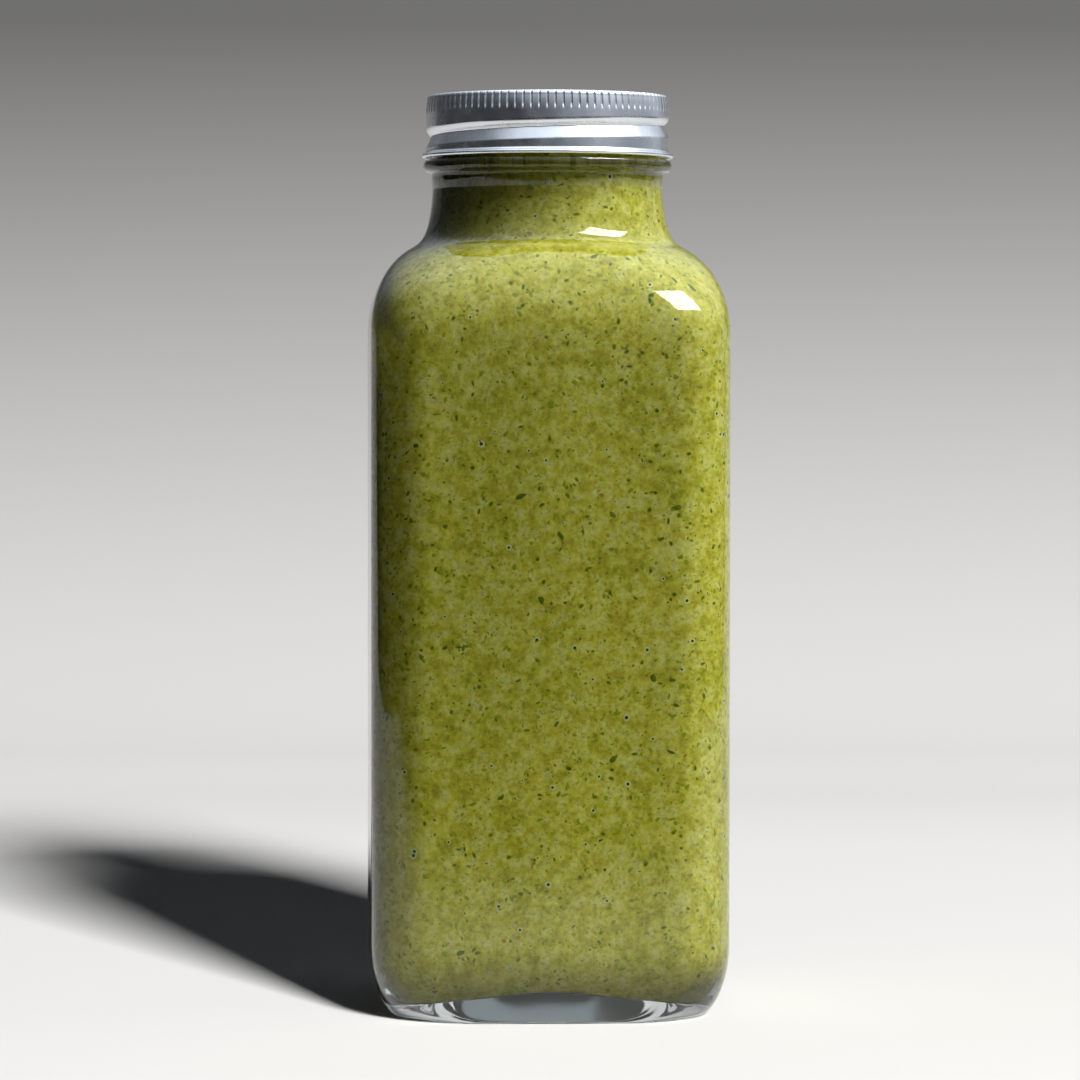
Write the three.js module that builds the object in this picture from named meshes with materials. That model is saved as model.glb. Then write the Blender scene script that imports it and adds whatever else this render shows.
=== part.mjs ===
// A green smoothie in a square glass bottle with a screw cap, in millimetres, +Z up.
// The origin is on the table, under the middle of the base, and the front face looks along -Y.
import * as THREE from 'three';

// Bottle, outside
const bodyHalf = 33.5;
const bodyCorner = 12.5;
const sideBow = 1;
const heelHeight = 13.5;
const heelInset = 4.4;
const heelCorner = 16.5;
const heelFullness = 1.5;
const footWidth = 3.6;
const pushUp = 2.5;
const shoulderStart = 125;
const shoulderReach = 14.5;
const shoulderRise = 17.95;
const shoulderEnd = 25.1;
const shoulderRounding = 1.5;
const neckRadius = 21.4;
const neckStraight = 152;
const flareTangent = 1.9;
const flareSpread = 0.5;
const flareHeight = 0.2;
const beadRadius = 23.1;
const beadBottom = 155.1;
const beadTop = 157.5;
const beadDepth = 1.1;
const beadFullness = 0.7;
const beadFillet = 0.5;
const finishRadius = 20.6;
const rimHeight = 168.5;
const rimRound = 0.8;

// Bottle, inside
const wall = 2.8;
const innerCorner = 8;
const innerNeckRadius = 18.5;
const innerShoulderEnd = 21.6;
const innerHeelHeight = 9;
const innerHeelInset = 5;
const floorAtCorners = 4.6;
const floorAtSides = 6.2;
const floorAtCentre = 8.2;

// Smoothie
const gap = 0.3;
const smoothieTop = 166.4;

// Cap
const capBottom = 157.8;
const capTop = 169.4;
const capRadius = 22.6;
const capEdgeRound = 0.8;
const capPanelRadius = 20.2;
const capPanelDepth = 0.25;
const ribCount = 96;
const ribDepth = 0.28;
const ribTop = 168.6;
const ribBottom = 166;
const ribMargin = 0.5;
const threadPitch = 4.23;
const threadTurns = 1.14;
const threadFade = 0.07;
const threadMiddle = 162.85;
const threadRelief = 0.95;
const threadAbove = 1.2;
const threadBelow = 2.2;
const threadRoundness = 2.2;
const lipRadius = 23.4;
const lipTop = 159;
const lipHeight = 0.9;
const lipTaper = 0.1;
const capBore = 21.05;
const capTopThickness = 0.6;

// Fineness of the faces
const bottlePoints = 56;
const cornerCrowding = 0.65;
const capPoints = 64;
const heelSteps = 5;
const shoulderSteps = 8;
const neckSteps = 5;
const beadSteps = 6;
const floorSteps = 3;
const skirtSteps = 12;

const frontAngle = -Math.PI / 2;

function mix(from, to, share) {
  return from + (to - from) * share;
}

function point(radius, angle, height) {
  return new THREE.Vector3(radius * Math.cos(angle), radius * Math.sin(angle), height);
}

function pole(height) {
  return [new THREE.Vector3(0, 0, height)];
}

// Distance from the axis to the edge of a rounded square, in the direction of angle.
// Its sides bow out gently: bow is how far they stand proud of a straight side.
function squareReach(half, corner, bow, angle) {
  const quarter = Math.PI / 2;
  const turned = ((angle % quarter) + quarter) % quarter;
  const slant = Math.min(turned, quarter - turned);
  const straight = half - corner;
  const drawnIn = bow * Math.sin(2 * slant) ** 2;
  if (half * Math.tan(slant) <= straight) {
    return half / Math.cos(slant) - drawnIn;
  }
  const along = straight * (Math.cos(slant) + Math.sin(slant));
  return along + Math.sqrt(along * along - 2 * straight * straight + corner * corner) - drawnIn;
}

// One section of the bottle: heightAt is a height, or a function of the angle.
// The points crowd towards the corners, where the section bends.
function squareRing(half, corner, heightAt) {
  const ring = [];
  const rounded = Math.min(corner, half);
  const bow = (sideBow * (half - rounded)) / (bodyHalf - bodyCorner);
  for (let i = 0; i < bottlePoints; i += 1) {
    const even = (2 * Math.PI * i) / bottlePoints;
    const angle = even + (cornerCrowding / 4) * Math.sin(4 * even);
    const height = typeof heightAt === 'function' ? heightAt(angle) : heightAt;
    ring.push(point(squareReach(half, rounded, bow, angle), angle, height));
  }
  return ring;
}

function circleRing(radius, height) {
  return squareRing(radius, radius, height);
}

// Joins two rings that start at the same angle, whatever their counts of points
function stitch(faces, first, second) {
  const firstSteps = first.count > 1 ? first.count : 0;
  const secondSteps = second.count > 1 ? second.count : 0;
  let i = 0;
  let j = 0;
  while (i < firstSteps || j < secondSteps) {
    const firstNext = i < firstSteps ? (i + 1) / firstSteps : Infinity;
    const secondNext = j < secondSteps ? (j + 1) / secondSteps : Infinity;
    const here = first.start + (i % first.count);
    const there = second.start + (j % second.count);
    if (firstNext <= secondNext) {
      i += 1;
      faces.push(here, first.start + (i % first.count), there);
    } else {
      j += 1;
      faces.push(here, second.start + (j % second.count), there);
    }
  }
}

// A closed body whose skin runs through the rings, from one pole to the other
function loft(rings) {
  const positions = [];
  const faces = [];
  let previous = null;
  for (const ring of rings) {
    const current = { start: positions.length / 3, count: ring.length };
    for (const corner of ring) {
      positions.push(corner.x, corner.y, corner.z);
    }
    if (previous) {
      stitch(faces, previous, current);
    }
    previous = current;
  }
  const geometry = new THREE.BufferGeometry();
  geometry.setAttribute('position', new THREE.Float32BufferAttribute(positions, 3));
  geometry.setIndex(faces);
  geometry.computeVertexNormals();
  return geometry;
}

// Sections up the rounded heel, from the foot to the straight wall
function heelRings(half, foot, wallCorner, inset, height, heightAt) {
  const rings = [];
  for (let i = 0; i <= heelSteps; i += 1) {
    const turn = ((Math.PI / 2) * i) / heelSteps;
    const drawnIn = inset * (1 - Math.sin(turn) ** heelFullness);
    const share = i / heelSteps;
    const rise = height * (1 - Math.cos(turn));
    rings.push(squareRing(half - drawnIn, mix(foot, wallCorner, share), heightAt(rise, share)));
  }
  return rings;
}

// Sections up the shoulder: an elliptical dome that turns from square to round,
// and then a curve into the neck. Outside and inside differ by their offset and their neck.
function shoulderRings(offset, corner, end, neck, neckStart) {
  const rings = [];
  const centre = bodyHalf - shoulderReach;
  const reach = shoulderReach - offset;
  const rise = shoulderRise - offset;
  const endTurn = Math.acos((end - centre) / reach);
  for (let i = 0; i <= shoulderSteps; i += 1) {
    const turn = (endTurn * i) / shoulderSteps;
    const share = Math.sin(turn) / Math.sin(endTurn);
    const half = centre + reach * Math.cos(turn);
    const rounding = mix(corner, end, share ** shoulderRounding);
    rings.push(squareRing(half, rounding, shoulderStart + rise * Math.sin(turn)));
  }
  const from = new THREE.Vector2(end, shoulderStart + rise * Math.sin(endTurn));
  const along = new THREE.Vector2(-reach * Math.sin(endTurn), rise * Math.cos(endTurn));
  along.setLength(flareTangent);
  const to = new THREE.Vector2(neck, neckStart);
  const flare = new THREE.Vector2(neck + flareSpread, mix(from.y, to.y, flareHeight));
  const curve = new THREE.CubicBezierCurve(from, from.clone().add(along), flare, to);
  for (const place of curve.getPoints(neckSteps).slice(1)) {
    rings.push(circleRing(place.x, place.y));
  }
  return rings;
}

// Height of the inner floor's edge: it dips at the corners of the bottle
function floorEdge(angle) {
  return mix(floorAtCorners, floorAtSides, Math.cos(2 * angle) ** 2);
}

// The surface that the glass and the smoothie share, from the middle of the floor to the neck,
// drawn in by clearance
function insideRings(clearance) {
  const rings = [];
  const half = bodyHalf - wall - clearance;
  const corner = innerCorner - clearance;
  const floorHalf = half - innerHeelInset;
  for (let i = 1; i < floorSteps; i += 1) {
    const share = i / floorSteps;
    const dome = (angle) => clearance + mix(floorAtCentre, floorEdge(angle), share ** 2);
    rings.push(squareRing(floorHalf * share, corner * share, dome));
  }
  const edge = (rise, share) => (angle) =>
    clearance + mix(floorEdge(angle), floorAtCorners, share) + rise;
  rings.push(...heelRings(half, corner, corner, innerHeelInset, innerHeelHeight, edge));
  const neck = innerNeckRadius - clearance;
  rings.push(...shoulderRings(wall + clearance, corner, innerShoulderEnd - clearance, neck, neckStraight));
  return [pole(floorAtCentre + clearance), ...rings];
}

// Sections over the bead of glass under the cap
function beadRings() {
  const rings = [circleRing(neckRadius, beadBottom - beadFillet)];
  const middle = (beadBottom + beadTop) / 2;
  const halfHeight = (beadTop - beadBottom) / 2;
  for (let i = 0; i <= beadSteps; i += 1) {
    const turn = Math.PI * (i / beadSteps - 0.5);
    const radius = beadRadius - beadDepth * (1 - Math.cos(turn) ** beadFullness);
    rings.push(circleRing(radius, middle + halfHeight * Math.sin(turn)));
  }
  return rings;
}

// Glass: a shell from the hollow under the base, up the outside, over the rim and down the inside
function bottleGeometry() {
  const footHalf = bodyHalf - heelInset - footWidth;
  const hollow = [1 / 3, 2 / 3, 1].map((share) =>
    squareRing(footHalf * share, heelCorner * share, pushUp * (1 - share ** 2)));
  const finish = [
    circleRing(finishRadius, beadTop),
    circleRing(finishRadius, rimHeight - rimRound),
    circleRing(finishRadius - rimRound, rimHeight),
    circleRing(innerNeckRadius + rimRound, rimHeight),
    circleRing(innerNeckRadius, rimHeight - rimRound),
  ];
  return loft([
    pole(pushUp),
    ...hollow,
    ...heelRings(bodyHalf, heelCorner, bodyCorner, heelInset, heelHeight, (rise) => rise),
    ...shoulderRings(0, bodyCorner, shoulderEnd, neckRadius, neckStraight),
    ...beadRings(),
    ...finish,
    ...insideRings(0).reverse(),
  ]);
}

// Drink: fills the glass from the floor to its level under the cap
function smoothieGeometry() {
  return loft([
    ...insideRings(gap),
    circleRing(innerNeckRadius - gap, smoothieTop),
    pole(smoothieTop),
  ]);
}

// How far the rolled thread draws the cap in: a groove that climbs to the right round the front,
// rounded above and sloping out below
function threadDepth(angle, height) {
  let depth = 0;
  for (const lap of [-1, 0, 1]) {
    const turn = (angle - frontAngle) / (2 * Math.PI) + lap;
    const fade = THREE.MathUtils.smoothstep(threadTurns / 2 - Math.abs(turn), 0, threadFade);
    const above = height - (threadMiddle + threadPitch * turn);
    let shape = 0;
    if (above >= 0 && above < threadAbove) {
      shape = (1 - above / threadAbove) ** threadRoundness;
    } else if (above < 0 && above > -threadBelow) {
      shape = 1 + above / threadBelow;
    }
    depth = Math.max(depth, threadRelief * fade * shape);
  }
  return depth;
}

function capRing(count, radiusAt, height) {
  const ring = [];
  for (let i = 0; i < count; i += 1) {
    const angle = (2 * Math.PI * i) / count;
    ring.push(point(radiusAt(i, angle), angle, height));
  }
  return ring;
}

function plainCapRing(radius, height) {
  return capRing(capPoints, () => radius, height);
}

// Cap: a hollow cup of sheet metal with a ribbed band, a rolled thread and a curled lip
function capGeometry() {
  const ribbed = (i) => capRadius - (i % 2) * ribDepth;
  const ribPoints = 2 * ribCount;
  const skirt = [];
  for (let i = 0; i <= skirtSteps; i += 1) {
    const height = mix(lipTop, ribBottom - ribMargin, i / skirtSteps);
    skirt.push(capRing(capPoints, (_, angle) => capRadius - threadDepth(angle, height), height));
  }
  const lipInner = lipRadius - lipHeight / 2;
  return loft([
    pole(capTop - capTopThickness),
    plainCapRing(capBore, capTop - capTopThickness),
    plainCapRing(capBore, capBottom),
    plainCapRing(lipInner, capBottom),
    plainCapRing(lipRadius, capBottom + lipHeight / 3),
    plainCapRing(lipRadius - lipTaper, capBottom + (2 * lipHeight) / 3),
    ...skirt,
    capRing(ribPoints, () => capRadius, ribBottom),
    capRing(ribPoints, ribbed, ribBottom + ribDepth),
    capRing(ribPoints, ribbed, ribTop),
    plainCapRing(capRadius - capEdgeRound * 0.3, capTop - capEdgeRound * 0.3),
    plainCapRing(capRadius - capEdgeRound, capTop),
    plainCapRing(capPanelRadius + capPanelDepth, capTop),
    plainCapRing(capPanelRadius, capTop - capPanelDepth),
    pole(capTop - capPanelDepth),
  ]);
}

function namedMesh(name, geometry, look) {
  const mesh = new THREE.Mesh(geometry, new THREE.MeshStandardMaterial(look));
  mesh.name = name;
  return mesh;
}

const clearGlass = { color: 0xdfe9ea, roughness: 0.05, transparent: true, opacity: 0.35 };
const thickDrink = { color: 0x8f9440, roughness: 0.55 };
const satinAluminium = { color: 0xc4c8cf, roughness: 0.3, metalness: 1 };

const smoothieBottle = new THREE.Group();
smoothieBottle.add(
  namedMesh('bottle', bottleGeometry(), clearGlass),
  namedMesh('smoothie', smoothieGeometry(), thickDrink),
  namedMesh('cap', capGeometry(), satinAluminium),
);

export default smoothieBottle;
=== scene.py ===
"""Looks of a green smoothie in a square glass bottle with a screw cap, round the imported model, in metres."""
import math

import bpy
import numpy as np
from mathutils import Matrix, Vector


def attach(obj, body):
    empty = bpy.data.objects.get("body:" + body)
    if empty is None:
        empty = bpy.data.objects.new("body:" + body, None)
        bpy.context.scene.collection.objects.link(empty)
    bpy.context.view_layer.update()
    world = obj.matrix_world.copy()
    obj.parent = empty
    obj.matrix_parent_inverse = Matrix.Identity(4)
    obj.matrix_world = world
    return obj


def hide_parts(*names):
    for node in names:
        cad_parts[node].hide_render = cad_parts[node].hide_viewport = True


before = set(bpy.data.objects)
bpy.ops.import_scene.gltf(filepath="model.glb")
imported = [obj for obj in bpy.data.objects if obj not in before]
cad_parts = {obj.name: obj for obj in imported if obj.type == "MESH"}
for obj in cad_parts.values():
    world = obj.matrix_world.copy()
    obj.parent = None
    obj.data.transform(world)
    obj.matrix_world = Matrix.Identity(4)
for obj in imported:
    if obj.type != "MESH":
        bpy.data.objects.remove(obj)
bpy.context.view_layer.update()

MM = 0.001

# Bottle, outside, in millimetres
BODY_HALF = 33.5
BODY_CORNER = 12.5
SIDE_BOW = 1.0
HEEL_HEIGHT = 13.5
HEEL_INSET = 4.4
HEEL_CORNER = 16.5
HEEL_FULLNESS = 1.5
FOOT_WIDTH = 3.6
PUSH_UP = 2.5
SHOULDER_START = 125.0
SHOULDER_REACH = 14.5
SHOULDER_RISE = 17.95
SHOULDER_END = 25.1
SHOULDER_ROUNDING = 1.5
NECK_RADIUS = 21.4
NECK_STRAIGHT = 152.0
FLARE_TANGENT = 1.9
FLARE_SPREAD = 0.5
FLARE_HEIGHT = 0.2
BEAD_RADIUS = 23.1
BEAD_BOTTOM = 155.1
BEAD_TOP = 157.5
BEAD_DEPTH = 1.1
BEAD_FULLNESS = 0.7
SEAM_HEIGHT = 152.1
SEAM_STEP = 0.12
SEAM_END = 1.0
BEAD_FILLET = 0.1
BEAD_FILLET_HEIGHT = 0.4
FINISH_RADIUS = 20.6
RIM_HEIGHT = 168.5
RIM_ROUND = 0.8

# Bottle, inside
WALL = 2.8
INNER_CORNER = 8.0
INNER_NECK_RADIUS = 18.5
INNER_SHOULDER_END = 21.6
INNER_HEEL_HEIGHT = 9.0
INNER_HEEL_INSET = 5.0
FLOOR_AT_CORNERS = 4.6
FLOOR_AT_SIDES = 6.2
FLOOR_AT_CENTRE = 8.2

# Smoothie: it reaches this far into the glass, so that no air shows
SMOOTHIE_TOP = 166.4
INTO_WALL = 0.06

# Cap
CAP_BOTTOM = 157.8
CAP_TOP = 169.4
CAP_RADIUS = 22.6
CAP_EDGE_ROUND = 0.8
CAP_PANEL_RADIUS = 20.2
CAP_PANEL_DEPTH = 0.25
RIB_COUNT = 96
RIB_DEPTH = 0.28
RIB_TOP = 168.6
RIB_BOTTOM = 166.0
RIB_PHASES = (0.08, 0.3, 0.36, 0.44, 0.56, 0.64, 0.7, 0.92)
RIB_LEAN = 0.22
RIB_RUN_OUT = (-0.1, 1.1)
GROOVE_HALF = 0.14
GROOVE_SIDE = 0.08
FRONT_ANGLE = -math.pi / 2
SKIRT_TOP = 165.8
THREAD_PITCH = 4.23
THREAD_TURNS = 1.14
THREAD_FADE = 0.07
THREAD_MIDDLE = 162.85
THREAD_RELIEF = 0.95
THREAD_ABOVE = 1.5
THREAD_BELOW = 2.2
THREAD_ROUNDNESS = 2.0
LIP_RADIUS = 23.4
LIP_TOP = 159.0
LIP_CURL = 0.42
INSIDE_BOTTOM = 158.3
SHEET = 0.35

# Camera: where it stood when the photo was taken, worked out from the bottle's outline
IMAGE_SIDE = 1080.0
SENSOR = 36.0
CAMERA_DISTANCE = 900.0
CAMERA_HEIGHT = 118.2
CAMERA_PITCH = math.radians(2.0)
CAMERA_TURN = math.radians(1.8)
CAMERA_ROLL = math.radians(0.05)
CAMERA_RANGE = (0.05, 20)
FOCAL_PIXELS = 4824.0
AXIS_PIXEL = 547.2


def mix(start, end, share):
    return start + (end - start) * share


def smoothstep(value, low, high):
    share = min(max((value - low) / (high - low), 0.0), 1.0)
    return share * share * (3 - 2 * share)


# Camera
def make_camera():
    data = bpy.data.cameras.new("camera")
    data.sensor_fit = "HORIZONTAL"
    data.sensor_width = SENSOR
    data.lens = FOCAL_PIXELS * SENSOR / IMAGE_SIDE
    data.clip_start, data.clip_end = CAMERA_RANGE
    camera = bpy.data.objects.new("camera", data)
    bpy.context.scene.collection.objects.link(camera)
    heading = CAMERA_TURN - math.atan((AXIS_PIXEL - IMAGE_SIDE / 2) / FOCAL_PIXELS)
    eye = Vector((-math.sin(CAMERA_TURN), -math.cos(CAMERA_TURN), 0)) * CAMERA_DISTANCE
    eye.z = CAMERA_HEIGHT
    aim = Matrix.Rotation(-heading, 4, "Z") @ Matrix.Rotation(math.pi / 2 - CAMERA_PITCH, 4, "X")
    camera.matrix_world = Matrix.Translation(eye * MM) @ aim @ Matrix.Rotation(CAMERA_ROLL, 4, "Z")
    bpy.context.scene.camera = camera


make_camera()


# Meshes from rings of points
def crowded_angles(count, crowding):
    """Angles round a section, closer together at the corners."""
    even = np.arange(count) * 2 * np.pi / count
    return even + crowding / 4 * np.sin(4 * even)


def square_reach(half, corner, angle):
    """Distance from the axis to a rounded square with gently bowed sides."""
    rounded = min(corner, half)
    bow = SIDE_BOW * (half - rounded) / (BODY_HALF - BODY_CORNER)
    slant = np.abs(np.mod(angle + np.pi / 4, np.pi / 2) - np.pi / 4)
    straight = half - rounded
    along = straight * (np.cos(slant) + np.sin(slant))
    on_arc = along + np.sqrt(np.maximum(along ** 2 - 2 * straight ** 2 + rounded ** 2, 0))
    flat = half * np.tan(slant) <= straight
    return np.where(flat, half / np.cos(slant), on_arc) - bow * np.sin(2 * slant) ** 2


def ring_points(reach, angles, height):
    heights = np.broadcast_to(height, angles.shape)
    return np.column_stack([reach * np.cos(angles), reach * np.sin(angles), heights])


def square_ring(half, corner, angles, height):
    return ring_points(square_reach(half, corner, angles), angles, height)


def circle_ring(radius, angles, height):
    return ring_points(np.full(angles.shape, radius), angles, height)


def lofted(name, rings, material, first_pole=None, last_pole=None):
    """A smooth mesh through rings of one count of points, closed by a point at either end."""
    count = len(rings[0])
    points = [tuple(point) for ring in rings for point in ring]
    faces = []
    for level in range(len(rings) - 1):
        low = level * count
        high = low + count
        for i in range(count):
            after = (i + 1) % count
            faces.append((low + i, low + after, high + after, high + i))
    if first_pole is not None:
        points.append((0, 0, first_pole))
        tip = len(points) - 1
        faces.extend((tip, (i + 1) % count, i) for i in range(count))
    if last_pole is not None:
        points.append((0, 0, last_pole))
        tip = len(points) - 1
        start = (len(rings) - 1) * count
        faces.extend((start + i, start + (i + 1) % count, tip) for i in range(count))
    mesh = bpy.data.meshes.new(name)
    mesh.from_pydata([(x * MM, y * MM, z * MM) for x, y, z in points], [], faces)
    mesh.update()
    mesh.shade_smooth()
    mesh.materials.append(material)
    piece = bpy.data.objects.new(name, mesh)
    bpy.context.scene.collection.objects.link(piece)
    return piece


# Sections shared by the glass and the drink
HEEL_STEPS = 14
SHOULDER_STEPS = 26
FLARE_STEPS = 16
FLOOR_STEPS = 14
BODY_STEPS = 24
PUSH_UP_STEPS = 10
BEAD_STEPS = 20


def bezier(ends, handles, share):
    start, end = ends
    near, far = handles
    rest = 1 - share
    return start * rest ** 3 + near * 3 * rest ** 2 * share + far * 3 * rest * share ** 2 + end * share ** 3


def heel_rings(angles, half, foot, corner, inset, height, base):
    """base gives the height of the foot round the section, by how far up the heel a ring is."""
    rings = []
    for i in range(HEEL_STEPS + 1):
        turn = math.pi / 2 * i / HEEL_STEPS
        drawn_in = inset * (1 - math.sin(turn) ** HEEL_FULLNESS)
        share = i / HEEL_STEPS
        rise = height * (1 - math.cos(turn))
        rings.append(square_ring(half - drawn_in, mix(foot, corner, share), angles, base(share) + rise))
    return rings


def body_rings(angles, half, corner, low, high):
    return [square_ring(half, corner, angles, mix(low, high, i / BODY_STEPS)) for i in range(1, BODY_STEPS)]


def shoulder_rings(angles, offset, corner, end, neck):
    rings = []
    centre = BODY_HALF - SHOULDER_REACH
    reach = SHOULDER_REACH - offset
    rise = SHOULDER_RISE - offset
    end_turn = math.acos((end - centre) / reach)
    for i in range(SHOULDER_STEPS + 1):
        turn = end_turn * i / SHOULDER_STEPS
        share = math.sin(turn) / math.sin(end_turn)
        half = centre + reach * math.cos(turn)
        height = SHOULDER_START + rise * math.sin(turn)
        rings.append(square_ring(half, mix(corner, end, share ** SHOULDER_ROUNDING), angles, height))
    start = Vector((end, SHOULDER_START + rise * math.sin(end_turn)))
    along = Vector((-reach * math.sin(end_turn), rise * math.cos(end_turn))).normalized() * FLARE_TANGENT
    finish = Vector((neck, NECK_STRAIGHT))
    flare = Vector((neck + FLARE_SPREAD, mix(start.y, finish.y, FLARE_HEIGHT)))
    for i in range(1, FLARE_STEPS + 1):
        place = bezier((start, finish), (start + along, flare), i / FLARE_STEPS)
        rings.append(circle_ring(place.x, angles, place.y))
    return rings


def floor_edge(angles):
    return mix(FLOOR_AT_CORNERS, FLOOR_AT_SIDES, np.cos(2 * angles) ** 2)


def inside_rings(angles, outward):
    """The wall that glass and drink share, from the floor to the neck, moved outward into the glass."""
    half = BODY_HALF - WALL + outward
    corner = INNER_CORNER + outward
    floor_half = half - INNER_HEEL_INSET
    rings = []
    for i in range(1, FLOOR_STEPS):
        share = i / FLOOR_STEPS
        dome = mix(FLOOR_AT_CENTRE, floor_edge(angles), share ** 2) - outward
        rings.append(square_ring(floor_half * share, corner * share, angles, dome))

    def base(share):
        return mix(floor_edge(angles), FLOOR_AT_CORNERS, share) - outward

    rings += heel_rings(angles, half, corner, corner, INNER_HEEL_INSET, INNER_HEEL_HEIGHT, base)
    rings += body_rings(angles, half, corner, FLOOR_AT_CORNERS + INNER_HEEL_HEIGHT, SHOULDER_START)
    end = INNER_SHOULDER_END + outward
    rings += shoulder_rings(angles, WALL - outward, corner, end, INNER_NECK_RADIUS + outward)
    return rings


# Materials: how strongly glass and drink bend light, and a lower figure for what is wet against the glass
GLASS_IOR = 1.5
DRINK_IOR = 1.36
AGAINST_GLASS_IOR = 1.1


def new_material(name):
    material = bpy.data.materials.new(name)
    material.use_nodes = True
    material.node_tree.nodes.clear()
    return material, material.node_tree.nodes, material.node_tree.links


def noise_node(nodes, links, coordinates, scale, detail, roughness=0.5):
    node = nodes.new("ShaderNodeTexNoise")
    node.inputs["Scale"].default_value = scale
    node.inputs["Detail"].default_value = detail
    node.inputs["Roughness"].default_value = roughness
    links.new(coordinates, node.inputs["Vector"])
    return node.outputs["Fac"]


def ramp_node(nodes, links, value, stops):
    node = nodes.new("ShaderNodeValToRGB")
    ramp = node.color_ramp
    while len(ramp.elements) < len(stops):
        ramp.elements.new(0.5)
    for element, (place, colour) in zip(ramp.elements, stops):
        element.position = place
        element.color = colour if len(colour) == 4 else (*colour, 1)
    links.new(value, node.inputs["Fac"])
    return node.outputs["Color"]


def grey(value):
    return (value, value, value)


def mix_colour(nodes, links, share, first, second, kind="MIX"):
    node = nodes.new("ShaderNodeMix")
    node.data_type = "RGBA"
    node.blend_type = kind
    for socket, value in ((node.inputs[0], share), (node.inputs[6], first), (node.inputs[7], second)):
        if hasattr(value, "is_linked"):
            links.new(value, socket)
        elif isinstance(value, tuple):
            socket.default_value = (*value, 1)
        else:
            socket.default_value = value
    return node.outputs[2]


def glass_material():
    material, nodes, links = new_material("clear_glass")
    output = nodes.new("ShaderNodeOutputMaterial")
    shader = nodes.new("ShaderNodeBsdfPrincipled")
    shader.inputs["Base Color"].default_value = (0.89, 0.95, 0.96, 1)
    shader.inputs["Roughness"].default_value = 0.012
    shader.inputs["IOR"].default_value = GLASS_IOR
    shader.inputs["Transmission Weight"].default_value = 1.0
    links.new(shader.outputs["BSDF"], output.inputs["Surface"])
    place = nodes.new("ShaderNodeTexCoord")
    waves = noise_node(nodes, links, place.outputs["Object"], 60.0, 2.0)
    bump = nodes.new("ShaderNodeBump")
    bump.inputs["Strength"].default_value = 0.05
    bump.inputs["Distance"].default_value = 0.002
    links.new(waves, bump.inputs["Height"])
    links.new(bump.outputs["Normal"], shader.inputs["Normal"])
    return material


def smoothie_material():
    """Thick drink, mirrored where it is seen at a slant, as glass bends light more than the drink does."""
    material, nodes, links = new_material("green_smoothie")
    output = nodes.new("ShaderNodeOutputMaterial")
    shader = nodes.new("ShaderNodeBsdfPrincipled")
    place = nodes.new("ShaderNodeTexCoord").outputs["Object"]
    broad = noise_node(nodes, links, place, 90.0, 3.0)
    colour = ramp_node(nodes, links, broad, [(0.3, (0.4, 0.385, 0.026)), (0.7, (0.48, 0.45, 0.044))])
    clouds = noise_node(nodes, links, place, 420.0, 2.0, 0.6)
    patches = ramp_node(nodes, links, clouds, [(0.3, grey(0.75)), (0.5, grey(1.0)), (0.7, grey(1.14))])
    colour = mix_colour(nodes, links, 1.0, colour, patches, "MULTIPLY")
    cloudy = ramp_node(nodes, links, clouds, [(0.45, grey(0.0)), (0.68, grey(0.6))])
    colour = mix_colour(nodes, links, cloudy, colour, (0.5, 0.5, 0.165))
    lumps = noise_node(nodes, links, place, 1250.0, 4.0, 0.75)
    mottling = ramp_node(nodes, links, lumps, [(0.3, grey(0.48)), (0.46, grey(0.91)), (0.72, grey(1.27))])
    colour = mix_colour(nodes, links, 1.0, colour, mottling, "MULTIPLY")
    links.new(colour, shader.inputs["Base Color"])
    shader.inputs["Roughness"].default_value = 0.5
    shader.inputs["IOR"].default_value = AGAINST_GLASS_IOR
    mirror = nodes.new("ShaderNodeBsdfGlossy")
    mirror.inputs["Roughness"].default_value = 0.04
    edge = nodes.new("ShaderNodeFresnel")
    edge.inputs["IOR"].default_value = DRINK_IOR / GLASS_IOR
    wet = nodes.new("ShaderNodeMixShader")
    links.new(edge.outputs["Fac"], wet.inputs["Fac"])
    links.new(shader.outputs["BSDF"], wet.inputs[1])
    links.new(mirror.outputs["BSDF"], wet.inputs[2])
    links.new(wet.outputs["Shader"], output.inputs["Surface"])
    return material


def leaf_material(name, dark, light):
    material, nodes, links = new_material(name)
    output = nodes.new("ShaderNodeOutputMaterial")
    shader = nodes.new("ShaderNodeBsdfPrincipled")
    place = nodes.new("ShaderNodeTexCoord").outputs["Object"]
    patches = noise_node(nodes, links, place, 600.0, 2.0)
    links.new(ramp_node(nodes, links, patches, [(0.3, dark), (0.7, light)]), shader.inputs["Base Color"])
    shader.inputs["Roughness"].default_value = 0.6
    shader.inputs["IOR"].default_value = AGAINST_GLASS_IOR
    links.new(shader.outputs["BSDF"], output.inputs["Surface"])
    return material


def cap_material():
    material, nodes, links = new_material("satin_aluminium")
    output = nodes.new("ShaderNodeOutputMaterial")
    shader = nodes.new("ShaderNodeBsdfPrincipled")
    shader.inputs["Metallic"].default_value = 1.0
    place = nodes.new("ShaderNodeTexCoord").outputs["Object"]
    cloud = noise_node(nodes, links, place, 300.0, 4.0)
    links.new(ramp_node(nodes, links, cloud, [(0.3, (0.74, 0.76, 0.8)), (0.7, (0.82, 0.84, 0.88))]),
              shader.inputs["Base Color"])
    links.new(ramp_node(nodes, links, cloud, [(0.3, grey(0.2)), (0.7, grey(0.3))]),
              shader.inputs["Roughness"])
    links.new(shader.outputs["BSDF"], output.inputs["Surface"])
    return material


glass = glass_material()
drink = smoothie_material()
metal = cap_material()


# Bottle
BOTTLE_POINTS = 192
CROWDING = 0.6


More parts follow.
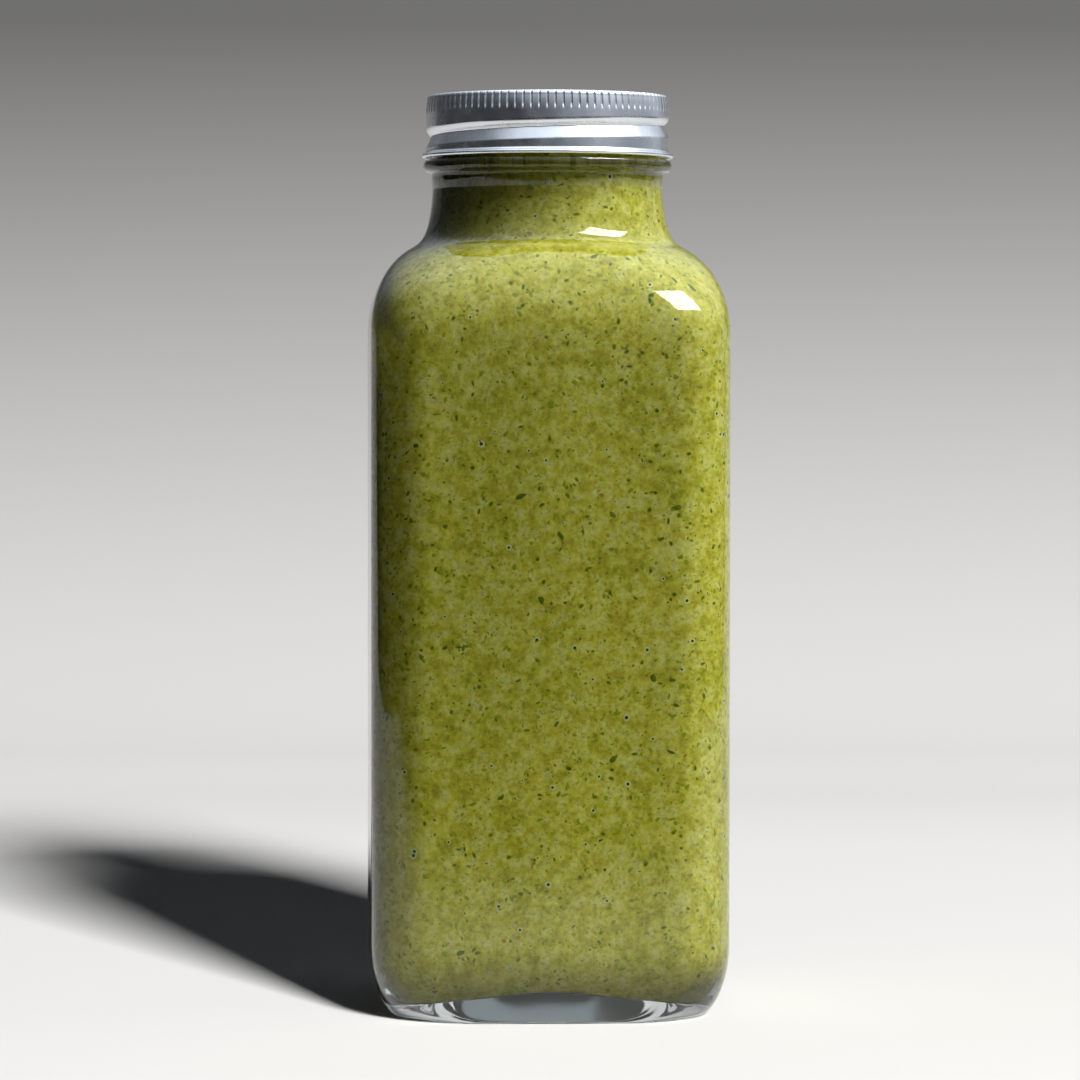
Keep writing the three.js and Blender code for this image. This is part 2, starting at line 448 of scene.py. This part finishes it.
def bead_rings(angles):
    rings = [circle_ring(NECK_RADIUS, angles, SEAM_HEIGHT),
             circle_ring(NECK_RADIUS + SEAM_STEP, angles, SEAM_HEIGHT + SEAM_STEP),
             circle_ring(NECK_RADIUS + SEAM_STEP, angles, BEAD_BOTTOM - SEAM_END),
             circle_ring(NECK_RADIUS + SEAM_STEP + BEAD_FILLET, angles, BEAD_BOTTOM - BEAD_FILLET_HEIGHT)]
    middle = (BEAD_BOTTOM + BEAD_TOP) / 2
    half_height = (BEAD_TOP - BEAD_BOTTOM) / 2
    for i in range(BEAD_STEPS + 1):
        turn = math.pi * (i / BEAD_STEPS - 0.5)
        radius = BEAD_RADIUS - BEAD_DEPTH * (1 - max(math.cos(turn), 0) ** BEAD_FULLNESS)
        rings.append(circle_ring(radius, angles, middle + half_height * math.sin(turn)))
    return rings


def make_bottle():
    angles = crowded_angles(BOTTLE_POINTS, CROWDING)
    foot_half = BODY_HALF - HEEL_INSET - FOOT_WIDTH
    rings = []
    for i in range(1, PUSH_UP_STEPS + 1):
        share = i / PUSH_UP_STEPS
        rings.append(square_ring(foot_half * share, HEEL_CORNER * share, angles, PUSH_UP * (1 - share ** 2)))
    rings += heel_rings(angles, BODY_HALF, HEEL_CORNER, BODY_CORNER, HEEL_INSET, HEEL_HEIGHT, lambda share: 0)
    rings += body_rings(angles, BODY_HALF, BODY_CORNER, HEEL_HEIGHT, SHOULDER_START)
    rings += shoulder_rings(angles, 0, BODY_CORNER, SHOULDER_END, NECK_RADIUS)
    rings += bead_rings(angles)
    for radius, height in ((FINISH_RADIUS, BEAD_TOP),
                           (FINISH_RADIUS, RIM_HEIGHT - RIM_ROUND),
                           (FINISH_RADIUS - RIM_ROUND, RIM_HEIGHT),
                           (INNER_NECK_RADIUS + RIM_ROUND, RIM_HEIGHT),
                           (INNER_NECK_RADIUS, RIM_HEIGHT - RIM_ROUND)):
        rings.append(circle_ring(radius, angles, height))
    rings += inside_rings(angles, 0)[::-1]
    piece = lofted("glass_bottle", rings, glass, PUSH_UP, FLOOR_AT_CENTRE)
    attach(piece, "root")
    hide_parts("bottle")
    return piece


# Smoothie
def make_smoothie():
    angles = crowded_angles(BOTTLE_POINTS, CROWDING)
    rings = inside_rings(angles, INTO_WALL)
    neck = INNER_NECK_RADIUS + INTO_WALL
    for share in (0.25, 0.5, 0.75, 1.0):
        rings.append(circle_ring(neck, angles, mix(NECK_STRAIGHT, SMOOTHIE_TOP, share)))
    for share in (0.75, 0.5, 0.25):
        rings.append(circle_ring(neck * share, angles, SMOOTHIE_TOP))
    piece = lofted("smoothie_fill", rings, drink, FLOOR_AT_CENTRE - INTO_WALL, SMOOTHIE_TOP)
    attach(piece, "root")
    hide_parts("smoothie")
    return piece


# Flecks and bubbles: flat scraps that lie on the drink's surface, against the glass.
# A few scraps are large and most are small, and the edge of each is ragged and lies flatter than its middle.
FLECK_SEED = 11
FLECK_LIFT = 0.05
FLECK_SMALLNESS = 2.2
FLECK_EDGE = (0.65, 1.25)
FLECK_EDGE_LIFT = 0.4
UNDERSIDE = -0.8
BUBBLE_COUNT = 420
BUBBLE_RADII = (0.12, 0.34)
BUBBLE_SMALLNESS = 2
BUBBLE_CORNERS = 12
BUBBLE_EDGE_LIFT = 0.6

# Layers of scraps: name, material, its darker and its lighter colour, then count, radii in millimetres,
# corners, the most that a scrap is drawn out, its own seed above the common one, and its lift
SCRAP_LAYERS = [
    ("fleck_edges", "soaked_leaf", (0.19, 0.22, 0.007), (0.28, 0.3, 0.014),
     3600, (0.17, 0.56), 6, 1.5, 0, 0.02),
    ("dark_flecks", "dark_leaf", (0.055, 0.075, 0.0015), (0.14, 0.165, 0.004),
     3600, (0.1, 0.36), 6, 1.5, 0, FLECK_LIFT),
    ("green_flecks", "green_leaf", (0.18, 0.23, 0.005), (0.28, 0.31, 0.012),
     7000, (0.14, 0.5), 7, 1.6, 1, FLECK_LIFT),
    ("leaf_scraps", "leaf_scrap", (0.05, 0.08, 0.003), (0.14, 0.19, 0.008),
     150, (0.4, 0.8), 9, 1.7, 2, FLECK_LIFT),
    ("fruit_specks", "fruit_speck", (0.26, 0.14, 0.015), (0.42, 0.26, 0.04),
     110, (0.2, 0.5), 7, 1.3, 3, FLECK_LIFT)]

# Layers of a bubble: name, material, its darker and lighter colour, size and lift. The rim's pale colour is a
# painted highlight of light caught at the bubble's edge, and the hole's near-black is painted shade inside the
# bubble.
BUBBLE_SEED = 4
BUBBLE_LAYERS = [("bubble_rims_painted_highlight", "bubble_rim_painted_highlight", (0.42, 0.46, 0.17), (0.55, 0.58, 0.26), 1.9, 0.5),
                 ("bubble_holes_painted_shade", "bubble_hole_painted_shade", (0.02, 0.028, 0.001), (0.05, 0.065, 0.003), 1.0, 1.2)]


def surface_spots(piece, count, random):
    """Points spread evenly over a piece but not under it, with normals and directions along the surface."""
    mesh = piece.data
    mesh.calc_loop_triangles()
    corners = np.empty(len(mesh.vertices) * 3)
    mesh.vertices.foreach_get("co", corners)
    corners = corners.reshape(-1, 3)
    triangles = np.empty(len(mesh.loop_triangles) * 3, dtype=int)
    mesh.loop_triangles.foreach_get("vertices", triangles)
    first, second, third = (corners[column] for column in triangles.reshape(-1, 3).T)
    normals = np.cross(second - first, third - first)
    areas = np.linalg.norm(normals, axis=1)
    weights = np.where(normals[:, 2] > UNDERSIDE * areas, areas, 0)
    chosen = random.choice(len(areas), count, p=weights / weights.sum())
    across = np.sqrt(random.random(count))[:, None]
    along = random.random(count)[:, None]
    places = (1 - across) * first[chosen]
    places = places + across * (1 - along) * second[chosen] + across * along * third[chosen]
    normals = normals[chosen] / areas[chosen][:, None]
    free = random.normal(size=(count, 3))
    sideways = free - normals * (free * normals).sum(axis=1)[:, None]
    sideways /= np.linalg.norm(sideways, axis=1)[:, None]
    return places, normals, sideways


def fan(start, corners):
    """Triangles round a middle point that is followed by its corners."""
    return [(start, start + 1 + corner, start + 1 + (corner + 1) % corners) for corner in range(corners)]


def scattered(name, points, faces, material):
    mesh = bpy.data.meshes.new(name)
    mesh.from_pydata([tuple(point) for point in points], [], faces)
    mesh.update()
    mesh.materials.append(material)
    layer = bpy.data.objects.new(name, mesh)
    bpy.context.scene.collection.objects.link(layer)
    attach(layer, "root")


def scraps(name, piece, material, count, radii, corners, stretch, seed, lift):
    """Small ragged flakes on a piece's surface, in millimetres of radius."""
    random = np.random.default_rng(seed)
    places, normals, sideways = surface_spots(piece, count, random)
    across = np.cross(normals, sideways)
    sizes = radii[0] + (radii[1] - radii[0]) * random.random(count) ** FLECK_SMALLNESS
    stretches = 1 + (stretch - 1) * random.random(count)
    points = []
    faces = []
    for i in range(count):
        start = len(points)
        points.append(places[i] + normals[i] * lift * MM)
        for corner in range(corners):
            turn = 2 * math.pi * corner / corners
            reach = sizes[i] * random.uniform(*FLECK_EDGE)
            offset = sideways[i] * math.cos(turn) * stretches[i] + across[i] * math.sin(turn) / stretches[i]
            points.append(places[i] + (offset * reach + normals[i] * lift * FLECK_EDGE_LIFT) * MM)
        faces.extend(fan(start, corners))
    scattered(name, points, faces, material)


def flecks(piece):
    for name, material, dark, light, count, radii, corners, stretch, seed, lift in SCRAP_LAYERS:
        leaf = leaf_material(material, dark, light)
        scraps(name, piece, leaf, count, radii, corners, stretch, FLECK_SEED + seed, lift)


def bubbles(piece):
    """Pinholes where a bubble meets the glass: a dark round spot of painted shade on a paler round rim of
    painted highlight.
    """
    random = np.random.default_rng(FLECK_SEED + BUBBLE_SEED)
    places, normals, sideways = surface_spots(piece, BUBBLE_COUNT, random)
    across = np.cross(normals, sideways)
    sizes = mix(BUBBLE_RADII[0], BUBBLE_RADII[1], random.random(BUBBLE_COUNT) ** BUBBLE_SMALLNESS)
    for name, material, dark, light, share, lift in BUBBLE_LAYERS:
        points = []
        faces = []
        for i in range(BUBBLE_COUNT):
            start = len(points)
            points.append(places[i] + normals[i] * FLECK_LIFT * lift * MM)
            for corner in range(BUBBLE_CORNERS):
                turn = 2 * math.pi * corner / BUBBLE_CORNERS
                offset = (sideways[i] * math.cos(turn) + across[i] * math.sin(turn)) * sizes[i] * share
                points.append(places[i] + (offset + normals[i] * FLECK_LIFT * lift * BUBBLE_EDGE_LIFT) * MM)
            faces.extend(fan(start, BUBBLE_CORNERS))
        # the rim layer is a painted highlight and the hole layer is painted shade
        scattered(name, points, faces, leaf_material(material, dark, light))


# Cap
CURL_STEPS = 12
SKIRT_STEPS = 44
RIB_STEPS = 14
EDGE_STEPS = 8


def thread_depth(angles, height):
    """How far the rolled thread draws the cap in: a groove climbing to the right round the front."""
    depth = np.zeros(angles.shape)
    for lap in (-1, 0, 1):
        turn = (angles - FRONT_ANGLE) / (2 * np.pi) + lap
        end = np.clip((THREAD_TURNS / 2 - np.abs(turn)) / THREAD_FADE, 0, 1)
        fade = end * end * (3 - 2 * end)
        above = height - (THREAD_MIDDLE + THREAD_PITCH * turn)
        upper = np.clip(1 - above / THREAD_ABOVE, 0, 1) ** THREAD_ROUNDNESS
        lower = np.clip(1 + above / THREAD_BELOW, 0, 1)
        depth = np.maximum(depth, THREAD_RELIEF * fade * np.where(above >= 0, upper, lower))
    return depth


def rib_relief(angles):
    """Narrow grooves between wide ribs: 0 on a rib, 1 in a groove."""
    phase = np.mod(angles * RIB_COUNT / (2 * np.pi), 1.0)
    return np.clip((GROOVE_HALF - np.abs(phase - 0.5)) / GROOVE_SIDE, 0, 1)


def cap_rings(angles):
    rings = []

    def add(radius, height):
        rings.append(ring_points(np.broadcast_to(radius, angles.shape), angles, height))

    inner = CAP_RADIUS - THREAD_RELIEF - SHEET
    for share in (0.3, 0.6, 1.0):
        add(inner * share, CAP_TOP - SHEET * 2)
    add(inner, INSIDE_BOTTOM)
    for i in range(CURL_STEPS * 3 // 2 + 1):
        turn = math.pi * (1 + i / CURL_STEPS)
        add(LIP_RADIUS - LIP_CURL * (1 - math.cos(turn)), CAP_BOTTOM + LIP_CURL * (1 + math.sin(turn)))
    for i in range(SKIRT_STEPS + 1):
        height = mix(LIP_TOP, SKIRT_TOP, i / SKIRT_STEPS)
        add(CAP_RADIUS - thread_depth(angles, height), height)
    grooves = rib_relief(angles)
    for i in range(RIB_STEPS + 1):
        height = mix(RIB_BOTTOM, RIB_TOP, i / RIB_STEPS)
        run_out = smoothstep(height, RIB_BOTTOM + RIB_RUN_OUT[0], RIB_BOTTOM + RIB_RUN_OUT[1])
        lean = RIB_LEAN * (i / RIB_STEPS) ** 2
        add(CAP_RADIUS - lean - RIB_DEPTH * run_out * grooves, height)
    for i in range(1, EDGE_STEPS + 1):
        turn = math.pi / 2 * i / EDGE_STEPS
        radius = CAP_RADIUS - RIB_LEAN - (CAP_EDGE_ROUND - RIB_LEAN) * (1 - math.cos(turn))
        height = RIB_TOP + (CAP_TOP - RIB_TOP) * math.sin(turn)
        add(radius - RIB_DEPTH * math.cos(turn) ** 2 * grooves, height)
    add(CAP_PANEL_RADIUS + CAP_PANEL_DEPTH, CAP_TOP)
    add(CAP_PANEL_RADIUS, CAP_TOP - CAP_PANEL_DEPTH)
    for share in (0.8, 0.5, 0.2):
        add(CAP_PANEL_RADIUS * share, CAP_TOP - CAP_PANEL_DEPTH)
    return rings


def make_cap():
    steps = np.add.outer(np.arange(RIB_COUNT), np.array(RIB_PHASES)).ravel()
    angles = steps * 2 * np.pi / RIB_COUNT
    piece = lofted("screw_cap", cap_rings(angles), metal, CAP_TOP - SHEET * 2, CAP_TOP - CAP_PANEL_DEPTH)
    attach(piece, "root")
    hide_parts("cap")


bottle = make_bottle()
fill = make_smoothie()
flecks(fill)
bubbles(fill)
make_cap()


# Floor that sweeps up into the backdrop, and light, in metres
SWEEP_FRONT = -0.36
SWEEP_BACK = 0.45
SWEEP_CURVE = 0.3
SWEEP_TOP = 0.36
SWEEP_HALF = 0.8
SWEEP_STEPS = 32
SWEEP_DROP = 0.0001
SWEEP_TINT = (1.0, 0.99, 0.97)
MIDDLE = (0, 0, 0.09)

# The paper's tone along the floor and up the wall is a painted light falloff: painted shade dark in front of
# the picture, palest where the paper begins to curve, and darker again up the wall as painted shade
SWEEP_PAINTED_FALLOFF_TONES = [(-0.36, 0.0), (-0.28, 0.2), (-0.19, 0.7), (0.0, 0.74), (0.3, 0.86), (0.45, 0.87), (0.52, 0.65),
               (0.98, 0.1)]


def before_bounce(nodes, links):
    """1 until a ray has left a matt surface, so that the stage throws no light back on the object."""
    first = nodes.new("ShaderNodeMath")
    first.operation = "LESS_THAN"
    first.inputs[1].default_value = 0.5
    links.new(nodes.new("ShaderNodeLightPath").outputs["Diffuse Depth"], first.inputs[0])
    return first.outputs[0]


def sweep_material():
    """Pale paper painted darker with distance along the floor and up the wall, as a painted light falloff."""
    material, nodes, links = new_material("pale_paper_painted_falloff")
    output = nodes.new("ShaderNodeOutputMaterial")
    shader = nodes.new("ShaderNodeBsdfPrincipled")
    shader.inputs["Roughness"].default_value = 0.75
    shader.inputs["Specular IOR Level"].default_value = 0.02
    links.new(shader.outputs["BSDF"], output.inputs["Surface"])
    parts = nodes.new("ShaderNodeSeparateXYZ")
    links.new(nodes.new("ShaderNodeTexCoord").outputs["Object"], parts.inputs["Vector"])
    along = nodes.new("ShaderNodeMath")
    along.operation = "ADD"
    links.new(parts.outputs["Y"], along.inputs[0])
    links.new(parts.outputs["Z"], along.inputs[1])
    first = SWEEP_PAINTED_FALLOFF_TONES[0][0]
    reach = SWEEP_PAINTED_FALLOFF_TONES[-1][0] - first
    share = nodes.new("ShaderNodeMapRange")
    share.inputs["From Min"].default_value = first
    share.inputs["From Max"].default_value = first + reach
    links.new(along.outputs[0], share.inputs["Value"])
    stops = [((place - first) / reach, tuple(tone * part for part in SWEEP_TINT))
             for place, tone in SWEEP_PAINTED_FALLOFF_TONES]
    # these tones are painted light falloff and painted shade, not the paper's own colour
    tone = ramp_node(nodes, links, share.outputs["Result"], stops)
    shown = mix_colour(nodes, links, before_bounce(nodes, links), grey(0.0), tone)
    links.new(shown, shader.inputs["Base Color"])
    return material


def make_sweep():
    profile = [(SWEEP_FRONT, 0.0), (0.0, 0.0)]
    for i in range(SWEEP_STEPS + 1):
        turn = math.pi / 2 * i / SWEEP_STEPS
        profile.append((SWEEP_BACK + SWEEP_CURVE * math.sin(turn), SWEEP_CURVE * (1 - math.cos(turn))))
    profile.append((SWEEP_BACK + SWEEP_CURVE, SWEEP_TOP))
    points = [(side * SWEEP_HALF, y, z) for y, z in profile for side in (-1, 1)]
    faces = [(2 * i, 2 * i + 1, 2 * i + 3, 2 * i + 2) for i in range(len(profile) - 1)]
    mesh = bpy.data.meshes.new("sweep")
    mesh.from_pydata(points, [], faces)
    mesh.update()
    mesh.shade_smooth()
    mesh.materials.append(sweep_material())
    sweep = bpy.data.objects.new("sweep", mesh)
    bpy.context.scene.collection.objects.link(sweep)
    sweep.location.z = -SWEEP_DROP
    sweep.visible_diffuse = False
    return sweep


def around(turn, rise, distance):
    """A place seen from the object's middle at a turn to the right of the camera and a rise, in degrees."""
    turn = math.radians(turn)
    rise = math.radians(rise)
    aside = Vector((math.sin(turn) * math.cos(rise), -math.cos(turn) * math.cos(rise), math.sin(rise)))
    return Vector(MIDDLE) + aside * distance


def make_light(name, place, width, height, power, colour=(1, 1, 1), target=MIDDLE):
    data = bpy.data.lights.new(name, "AREA")
    data.shape = "RECTANGLE"
    data.size = width
    data.size_y = height
    data.energy = power
    data.color = colour
    lamp = bpy.data.objects.new(name, data)
    bpy.context.scene.collection.objects.link(lamp)
    lamp.location = place
    lamp.rotation_euler = (Vector(target) - place).to_track_quat("-Z", "Y").to_euler()
    return lamp


def linked_group(name, piece, state):
    group = bpy.data.collections.new(name)
    group.objects.link(piece)
    group.collection_objects[0].light_linking.link_state = state
    return group


def light_sweep(lamp, sweep):
    """Lets a lamp light the sweep alone."""
    lamp.light_linking.receiver_collection = linked_group(lamp.name + "_lights", sweep, "INCLUDE")


def light_object(lamp, sweep, bottle):
    """Lets a lamp light everything but the sweep, and shine straight through the clear glass."""
    lamp.light_linking.receiver_collection = linked_group(lamp.name + "_lights", sweep, "EXCLUDE")
    lamp.light_linking.blocker_collection = linked_group(lamp.name + "_shadows", bottle, "EXCLUDE")


def hide_lamp(lamp):
    lamp.visible_camera = False
    lamp.visible_glossy = False
    lamp.visible_transmission = False


# Lamps: turn and rise in degrees, distance, width, height and watts
FLOOR_LAMP = (19.3, 27.5, 3.0, 0.46, 0.55, 225)
KEY_LAMP = (67, 49, 1.2, 0.8, 0.38, 16.0)

# Light that the pale floor in front throws up on the bottle: place, width, depth and watts
GLOW = (0.0, -0.072, 0.0005, 0.12, 0.07, 0.019)

# Light that the clear base throws on the floor behind it: place, width, depth and watts
STREAKS = [(-0.01, 0.038, 0.036, 0.014, 0.0006), (0.0, 0.032, 0.05, 0.0015, 0.0003)]
STREAK_HEIGHT = 0.0012
STREAK_COLOUR = (0.8, 0.93, 1.0)

# The room's tones by direction, from -1 to 1: from left to right, and from below to overhead
ROOM_ASIDE = [(-1.0, 0.05), (-0.5, 0.05), (0.0, 0.18), (0.5, 0.36), (0.85, 0.58), (1.0, 0.38)]
ROOM_UPWARD = [(-1.0, 0.1), (-0.03, 0.2), (0.04, 1.0), (1.0, 1.0)]
ROOM_OVERHEAD = [(-1.0, 0.0), (0.2, 0.0), (0.75, 0.9), (1.0, 1.7)]
ROOM_OVERHEAD_ASIDE = [(-1.0, 0.12), (-0.7, 0.25), (-0.45, 1.0), (0.8, 1.0), (1.0, 0.5)]
ROOM_COLOUR = (0.9, 0.98, 1.08)


def room_ramp(nodes, links, value, stops):
    """A ramp over a part of a direction, from -1 to 1, with tones that may pass 1."""
    share = nodes.new("ShaderNodeMapRange")
    share.inputs["From Min"].default_value = -1
    links.new(value, share.inputs["Value"])
    top = max(tone for _, tone in stops)
    places = [((place + 1) / 2, grey(tone / top)) for place, tone in stops]
    strength = nodes.new("ShaderNodeMath")
    strength.operation = "MULTIPLY"
    strength.inputs[1].default_value = top
    links.new(ramp_node(nodes, links, share.outputs["Result"], places), strength.inputs[0])
    return strength.outputs[0]


def make_world():
    """A dim room, dark at the left and lighter at the right and overhead, that shows only in reflections."""
    world = bpy.data.worlds.new("studio")
    world.use_nodes = True
    nodes = world.node_tree.nodes
    links = world.node_tree.links
    background = nodes["Background"]
    background.inputs["Color"].default_value = (*ROOM_COLOUR, 1)
    parts = nodes.new("ShaderNodeSeparateXYZ")
    links.new(nodes.new("ShaderNodeTexCoord").outputs["Generated"], parts.inputs["Vector"])
    tone = nodes.new("ShaderNodeMath")
    tone.operation = "MULTIPLY"
    links.new(room_ramp(nodes, links, parts.outputs["X"], ROOM_ASIDE), tone.inputs[0])
    links.new(room_ramp(nodes, links, parts.outputs["Z"], ROOM_UPWARD), tone.inputs[1])
    overhead = nodes.new("ShaderNodeMath")
    overhead.operation = "MULTIPLY"
    links.new(room_ramp(nodes, links, parts.outputs["X"], ROOM_OVERHEAD_ASIDE), overhead.inputs[0])
    links.new(room_ramp(nodes, links, parts.outputs["Z"], ROOM_OVERHEAD), overhead.inputs[1])
    whole = nodes.new("ShaderNodeMath")
    links.new(tone.outputs[0], whole.inputs[0])
    links.new(overhead.outputs[0], whole.inputs[1])
    shown = nodes.new("ShaderNodeMath")
    shown.operation = "MULTIPLY"
    links.new(whole.outputs[0], shown.inputs[0])
    links.new(before_bounce(nodes, links), shown.inputs[1])
    links.new(shown.outputs[0], background.inputs["Strength"])
    world.cycles_visibility.diffuse = False
    bpy.context.scene.world = world


def make_lamps(sweep, bottle):
    floor_lamp = make_light("floor_lamp", around(*FLOOR_LAMP[:3]), *FLOOR_LAMP[3:])
    light_sweep(floor_lamp, sweep)
    key_lamp = make_light("key_lamp", around(*KEY_LAMP[:3]), *KEY_LAMP[3:])
    light_object(key_lamp, sweep, bottle)
    x, y, height, width, depth, power = GLOW
    glow = make_light("floor_glow", Vector((x, y, height)), width, depth, power, target=(x, y, 1.0))
    hide_lamp(glow)
    light_object(glow, sweep, bottle)
    for number, (x, y, width, depth, power) in enumerate(STREAKS):
        place = Vector((x, y, STREAK_HEIGHT))
        below = (x, y, -1.0)
        streak = make_light(f"streak_{number}", place, width, depth, power, STREAK_COLOUR, below)
        hide_lamp(streak)
        light_sweep(streak, sweep)


sweep = make_sweep()
make_world()
make_lamps(sweep, bottle)

bpy.context.scene.view_settings.view_transform = "Standard"
